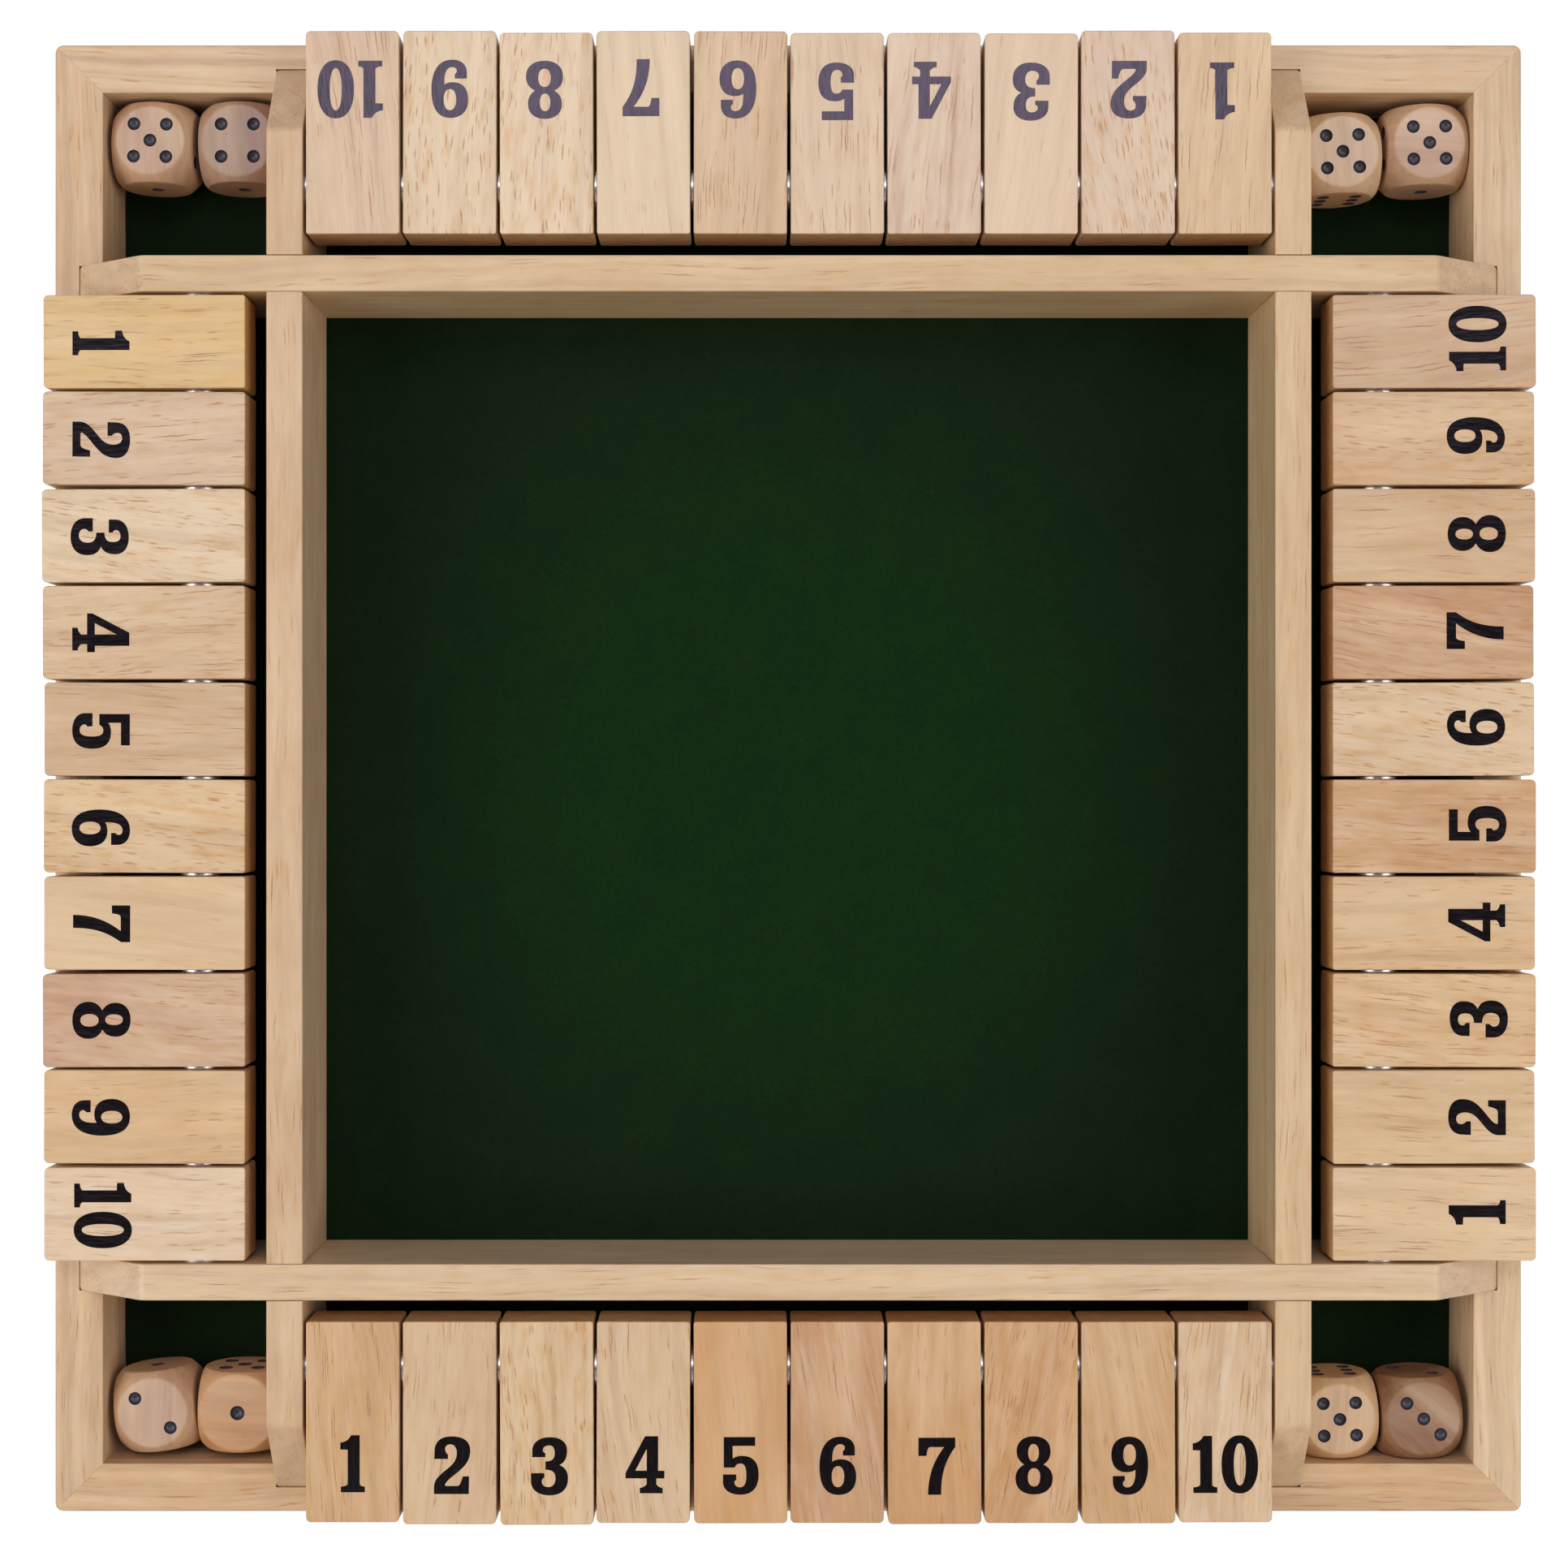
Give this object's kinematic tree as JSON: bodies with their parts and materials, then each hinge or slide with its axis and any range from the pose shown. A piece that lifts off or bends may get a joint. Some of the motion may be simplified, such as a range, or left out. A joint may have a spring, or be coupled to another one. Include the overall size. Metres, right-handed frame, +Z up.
{
  "type": "shut the box game",
  "caption": "Square wooden box game for four players: rows of numbered flip tiles on rods round a felt-lined throwing tray, with dice in corner trays.",
  "frame": {"origin": "middle of the underside, on the surface that the box stands on", "axes": "+Z up, +X to the right along the front row of tiles, +Y from the front row to the back row"},
  "size_m": [0.289, 0.289, 0.0326],
  "materials": {
    "tile_wood": "satin lacquered pale hardwood",
    "rail_wood": "satin lacquered pale hardwood",
    "frame_wood": "satin lacquered pale hardwood",
    "board_wood": "plain plywood",
    "dice_wood": "satin turned wood with dark spots",
    "rod_steel": "bright drawn steel",
    "felt": "dark green felt"
  },
  "bodies": {
    "root": {"base_board": "board_wood", "felt_lining": "felt", "outer_frame": "frame_wood", "front_rail": "rail_wood", "front_rod": "rod_steel", "left_rail": "rail_wood", "left_rod": "rod_steel", "back_rail": "rail_wood", "back_rod": "rod_steel", "right_rail": "rail_wood", "right_rod": "rod_steel"},
    "front_tile_1": {"front_tile_1": "tile_wood"},
    "front_tile_2": {"front_tile_2": "tile_wood"},
    "front_tile_3": {"front_tile_3": "tile_wood"},
    "front_tile_4": {"front_tile_4": "tile_wood"},
    "front_tile_5": {"front_tile_5": "tile_wood"},
    "front_tile_6": {"front_tile_6": "tile_wood"},
    "front_tile_7": {"front_tile_7": "tile_wood"},
    "front_tile_8": {"front_tile_8": "tile_wood"},
    "front_tile_9": {"front_tile_9": "tile_wood"},
    "front_tile_10": {"front_tile_10": "tile_wood"},
    "left_tile_1": {"left_tile_1": "tile_wood"},
    "left_tile_2": {"left_tile_2": "tile_wood"},
    "left_tile_3": {"left_tile_3": "tile_wood"},
    "left_tile_4": {"left_tile_4": "tile_wood"},
    "left_tile_5": {"left_tile_5": "tile_wood"},
    "left_tile_6": {"left_tile_6": "tile_wood"},
    "left_tile_7": {"left_tile_7": "tile_wood"},
    "left_tile_8": {"left_tile_8": "tile_wood"},
    "left_tile_9": {"left_tile_9": "tile_wood"},
    "left_tile_10": {"left_tile_10": "tile_wood"},
    "back_tile_1": {"back_tile_1": "tile_wood"},
    "back_tile_2": {"back_tile_2": "tile_wood"},
    "back_tile_3": {"back_tile_3": "tile_wood"},
    "back_tile_4": {"back_tile_4": "tile_wood"},
    "back_tile_5": {"back_tile_5": "tile_wood"},
    "back_tile_6": {"back_tile_6": "tile_wood"},
    "back_tile_7": {"back_tile_7": "tile_wood"},
    "back_tile_8": {"back_tile_8": "tile_wood"},
    "back_tile_9": {"back_tile_9": "tile_wood"},
    "back_tile_10": {"back_tile_10": "tile_wood"},
    "right_tile_1": {"right_tile_1": "tile_wood"},
    "right_tile_2": {"right_tile_2": "tile_wood"},
    "right_tile_3": {"right_tile_3": "tile_wood"},
    "right_tile_4": {"right_tile_4": "tile_wood"},
    "right_tile_5": {"right_tile_5": "tile_wood"},
    "right_tile_6": {"right_tile_6": "tile_wood"},
    "right_tile_7": {"right_tile_7": "tile_wood"},
    "right_tile_8": {"right_tile_8": "tile_wood"},
    "right_tile_9": {"right_tile_9": "tile_wood"},
    "right_tile_10": {"right_tile_10": "tile_wood"},
    "die_back_left_outer": {"die_back_left_outer": "dice_wood"},
    "die_back_left_inner": {"die_back_left_inner": "dice_wood"},
    "die_back_right_outer": {"die_back_right_outer": "dice_wood"},
    "die_back_right_inner": {"die_back_right_inner": "dice_wood"},
    "die_front_left_outer": {"die_front_left_outer": "dice_wood"},
    "die_front_left_inner": {"die_front_left_inner": "dice_wood"},
    "die_front_right_outer": {"die_front_right_outer": "dice_wood"},
    "die_front_right_inner": {"die_front_right_inner": "dice_wood"}
  },
  "joints": [
    {"name": "front_tile_1_flip", "type": "hinge", "parent": "root", "child": "front_tile_1", "pos_m": [-0.08415, -0.11455, 0.02705], "axis": [-1, 0, 0], "range_deg": [0, 135]},
    {"name": "front_tile_2_flip", "type": "hinge", "parent": "root", "child": "front_tile_2", "pos_m": [-0.06545, -0.11455, 0.02705], "axis": [-1, 0, 0], "range_deg": [0, 135]},
    {"name": "front_tile_3_flip", "type": "hinge", "parent": "root", "child": "front_tile_3", "pos_m": [-0.04675, -0.11455, 0.02705], "axis": [-1, 0, 0], "range_deg": [0, 135]},
    {"name": "front_tile_4_flip", "type": "hinge", "parent": "root", "child": "front_tile_4", "pos_m": [-0.02805, -0.11455, 0.02705], "axis": [-1, 0, 0], "range_deg": [0, 135]},
    {"name": "front_tile_5_flip", "type": "hinge", "parent": "root", "child": "front_tile_5", "pos_m": [-0.00935, -0.11455, 0.02705], "axis": [-1, 0, 0], "range_deg": [0, 135]},
    {"name": "front_tile_6_flip", "type": "hinge", "parent": "root", "child": "front_tile_6", "pos_m": [0.00935, -0.11455, 0.02705], "axis": [-1, 0, 0], "range_deg": [0, 135]},
    {"name": "front_tile_7_flip", "type": "hinge", "parent": "root", "child": "front_tile_7", "pos_m": [0.02805, -0.11455, 0.02705], "axis": [-1, 0, 0], "range_deg": [0, 135]},
    {"name": "front_tile_8_flip", "type": "hinge", "parent": "root", "child": "front_tile_8", "pos_m": [0.04675, -0.11455, 0.02705], "axis": [-1, 0, 0], "range_deg": [0, 135]},
    {"name": "front_tile_9_flip", "type": "hinge", "parent": "root", "child": "front_tile_9", "pos_m": [0.06545, -0.11455, 0.02705], "axis": [-1, 0, 0], "range_deg": [0, 135]},
    {"name": "front_tile_10_flip", "type": "hinge", "parent": "root", "child": "front_tile_10", "pos_m": [0.08415, -0.11455, 0.02705], "axis": [-1, 0, 0], "range_deg": [0, 135]},
    {"name": "left_tile_1_flip", "type": "hinge", "parent": "root", "child": "left_tile_1", "pos_m": [-0.11455, 0.08415, 0.02705], "axis": [0, 1, 0], "range_deg": [0, 123]},
    {"name": "left_tile_2_flip", "type": "hinge", "parent": "root", "child": "left_tile_2", "pos_m": [-0.11455, 0.06545, 0.02705], "axis": [0, 1, 0], "range_deg": [0, 135]},
    {"name": "left_tile_3_flip", "type": "hinge", "parent": "root", "child": "left_tile_3", "pos_m": [-0.11455, 0.04675, 0.02705], "axis": [0, 1, 0], "range_deg": [0, 135]},
    {"name": "left_tile_4_flip", "type": "hinge", "parent": "root", "child": "left_tile_4", "pos_m": [-0.11455, 0.02805, 0.02705], "axis": [0, 1, 0], "range_deg": [0, 135]},
    {"name": "left_tile_5_flip", "type": "hinge", "parent": "root", "child": "left_tile_5", "pos_m": [-0.11455, 0.00935, 0.02705], "axis": [0, 1, 0], "range_deg": [0, 135]},
    {"name": "left_tile_6_flip", "type": "hinge", "parent": "root", "child": "left_tile_6", "pos_m": [-0.11455, -0.00935, 0.02705], "axis": [0, 1, 0], "range_deg": [0, 135]},
    {"name": "left_tile_7_flip", "type": "hinge", "parent": "root", "child": "left_tile_7", "pos_m": [-0.11455, -0.02805, 0.02705], "axis": [0, 1, 0], "range_deg": [0, 135]},
    {"name": "left_tile_8_flip", "type": "hinge", "parent": "root", "child": "left_tile_8", "pos_m": [-0.11455, -0.04675, 0.02705], "axis": [0, 1, 0], "range_deg": [0, 135]},
    {"name": "left_tile_9_flip", "type": "hinge", "parent": "root", "child": "left_tile_9", "pos_m": [-0.11455, -0.06545, 0.02705], "axis": [0, 1, 0], "range_deg": [0, 135]},
    {"name": "left_tile_10_flip", "type": "hinge", "parent": "root", "child": "left_tile_10", "pos_m": [-0.11455, -0.08415, 0.02705], "axis": [0, 1, 0], "range_deg": [0, 123]},
    {"name": "back_tile_1_flip", "type": "hinge", "parent": "root", "child": "back_tile_1", "pos_m": [0.08415, 0.11455, 0.02705], "axis": [1, 0, 0], "range_deg": [0, 135]},
    {"name": "back_tile_2_flip", "type": "hinge", "parent": "root", "child": "back_tile_2", "pos_m": [0.06545, 0.11455, 0.02705], "axis": [1, 0, 0], "range_deg": [0, 135]},
    {"name": "back_tile_3_flip", "type": "hinge", "parent": "root", "child": "back_tile_3", "pos_m": [0.04675, 0.11455, 0.02705], "axis": [1, 0, 0], "range_deg": [0, 135]},
    {"name": "back_tile_4_flip", "type": "hinge", "parent": "root", "child": "back_tile_4", "pos_m": [0.02805, 0.11455, 0.02705], "axis": [1, 0, 0], "range_deg": [0, 135]},
    {"name": "back_tile_5_flip", "type": "hinge", "parent": "root", "child": "back_tile_5", "pos_m": [0.00935, 0.11455, 0.02705], "axis": [1, 0, 0], "range_deg": [0, 135]},
    {"name": "back_tile_6_flip", "type": "hinge", "parent": "root", "child": "back_tile_6", "pos_m": [-0.00935, 0.11455, 0.02705], "axis": [1, 0, 0], "range_deg": [0, 135]},
    {"name": "back_tile_7_flip", "type": "hinge", "parent": "root", "child": "back_tile_7", "pos_m": [-0.02805, 0.11455, 0.02705], "axis": [1, 0, 0], "range_deg": [0, 135]},
    {"name": "back_tile_8_flip", "type": "hinge", "parent": "root", "child": "back_tile_8", "pos_m": [-0.04675, 0.11455, 0.02705], "axis": [1, 0, 0], "range_deg": [0, 135]},
    {"name": "back_tile_9_flip", "type": "hinge", "parent": "root", "child": "back_tile_9", "pos_m": [-0.06545, 0.11455, 0.02705], "axis": [1, 0, 0], "range_deg": [0, 135]},
    {"name": "back_tile_10_flip", "type": "hinge", "parent": "root", "child": "back_tile_10", "pos_m": [-0.08415, 0.11455, 0.02705], "axis": [1, 0, 0], "range_deg": [0, 135]},
    {"name": "right_tile_1_flip", "type": "hinge", "parent": "root", "child": "right_tile_1", "pos_m": [0.11455, -0.08415, 0.02705], "axis": [0, -1, 0], "range_deg": [0, 123]},
    {"name": "right_tile_2_flip", "type": "hinge", "parent": "root", "child": "right_tile_2", "pos_m": [0.11455, -0.06545, 0.02705], "axis": [0, -1, 0], "range_deg": [0, 135]},
    {"name": "right_tile_3_flip", "type": "hinge", "parent": "root", "child": "right_tile_3", "pos_m": [0.11455, -0.04675, 0.02705], "axis": [0, -1, 0], "range_deg": [0, 135]},
    {"name": "right_tile_4_flip", "type": "hinge", "parent": "root", "child": "right_tile_4", "pos_m": [0.11455, -0.02805, 0.02705], "axis": [0, -1, 0], "range_deg": [0, 135]},
    {"name": "right_tile_5_flip", "type": "hinge", "parent": "root", "child": "right_tile_5", "pos_m": [0.11455, -0.00935, 0.02705], "axis": [0, -1, 0], "range_deg": [0, 135]},
    {"name": "right_tile_6_flip", "type": "hinge", "parent": "root", "child": "right_tile_6", "pos_m": [0.11455, 0.00935, 0.02705], "axis": [0, -1, 0], "range_deg": [0, 135]},
    {"name": "right_tile_7_flip", "type": "hinge", "parent": "root", "child": "right_tile_7", "pos_m": [0.11455, 0.02805, 0.02705], "axis": [0, -1, 0], "range_deg": [0, 135]},
    {"name": "right_tile_8_flip", "type": "hinge", "parent": "root", "child": "right_tile_8", "pos_m": [0.11455, 0.04675, 0.02705], "axis": [0, -1, 0], "range_deg": [0, 135]},
    {"name": "right_tile_9_flip", "type": "hinge", "parent": "root", "child": "right_tile_9", "pos_m": [0.11455, 0.06545, 0.02705], "axis": [0, -1, 0], "range_deg": [0, 135]},
    {"name": "right_tile_10_flip", "type": "hinge", "parent": "root", "child": "right_tile_10", "pos_m": [0.11455, 0.08415, 0.02705], "axis": [0, -1, 0], "range_deg": [0, 123]},
    {"name": "die_back_left_outer_lift", "type": "slide", "parent": "root", "child": "die_back_left_outer", "axis": [0, 0, 1], "range_m": [0, 0.04]},
    {"name": "die_back_left_inner_lift", "type": "slide", "parent": "root", "child": "die_back_left_inner", "axis": [0, 0, 1], "range_m": [0, 0.04]},
    {"name": "die_back_right_outer_lift", "type": "slide", "parent": "root", "child": "die_back_right_outer", "axis": [0, 0, 1], "range_m": [0, 0.04]},
    {"name": "die_back_right_inner_lift", "type": "slide", "parent": "root", "child": "die_back_right_inner", "axis": [0, 0, 1], "range_m": [0, 0.04]},
    {"name": "die_front_left_outer_lift", "type": "slide", "parent": "root", "child": "die_front_left_outer", "axis": [0, 0, 1], "range_m": [0, 0.04]},
    {"name": "die_front_left_inner_lift", "type": "slide", "parent": "root", "child": "die_front_left_inner", "axis": [0, 0, 1], "range_m": [0, 0.04]},
    {"name": "die_front_right_outer_lift", "type": "slide", "parent": "root", "child": "die_front_right_outer", "axis": [0, 0, 1], "range_m": [0, 0.04]},
    {"name": "die_front_right_inner_lift", "type": "slide", "parent": "root", "child": "die_front_right_inner", "axis": [0, 0, 1], "range_m": [0, 0.04]}
  ]
}
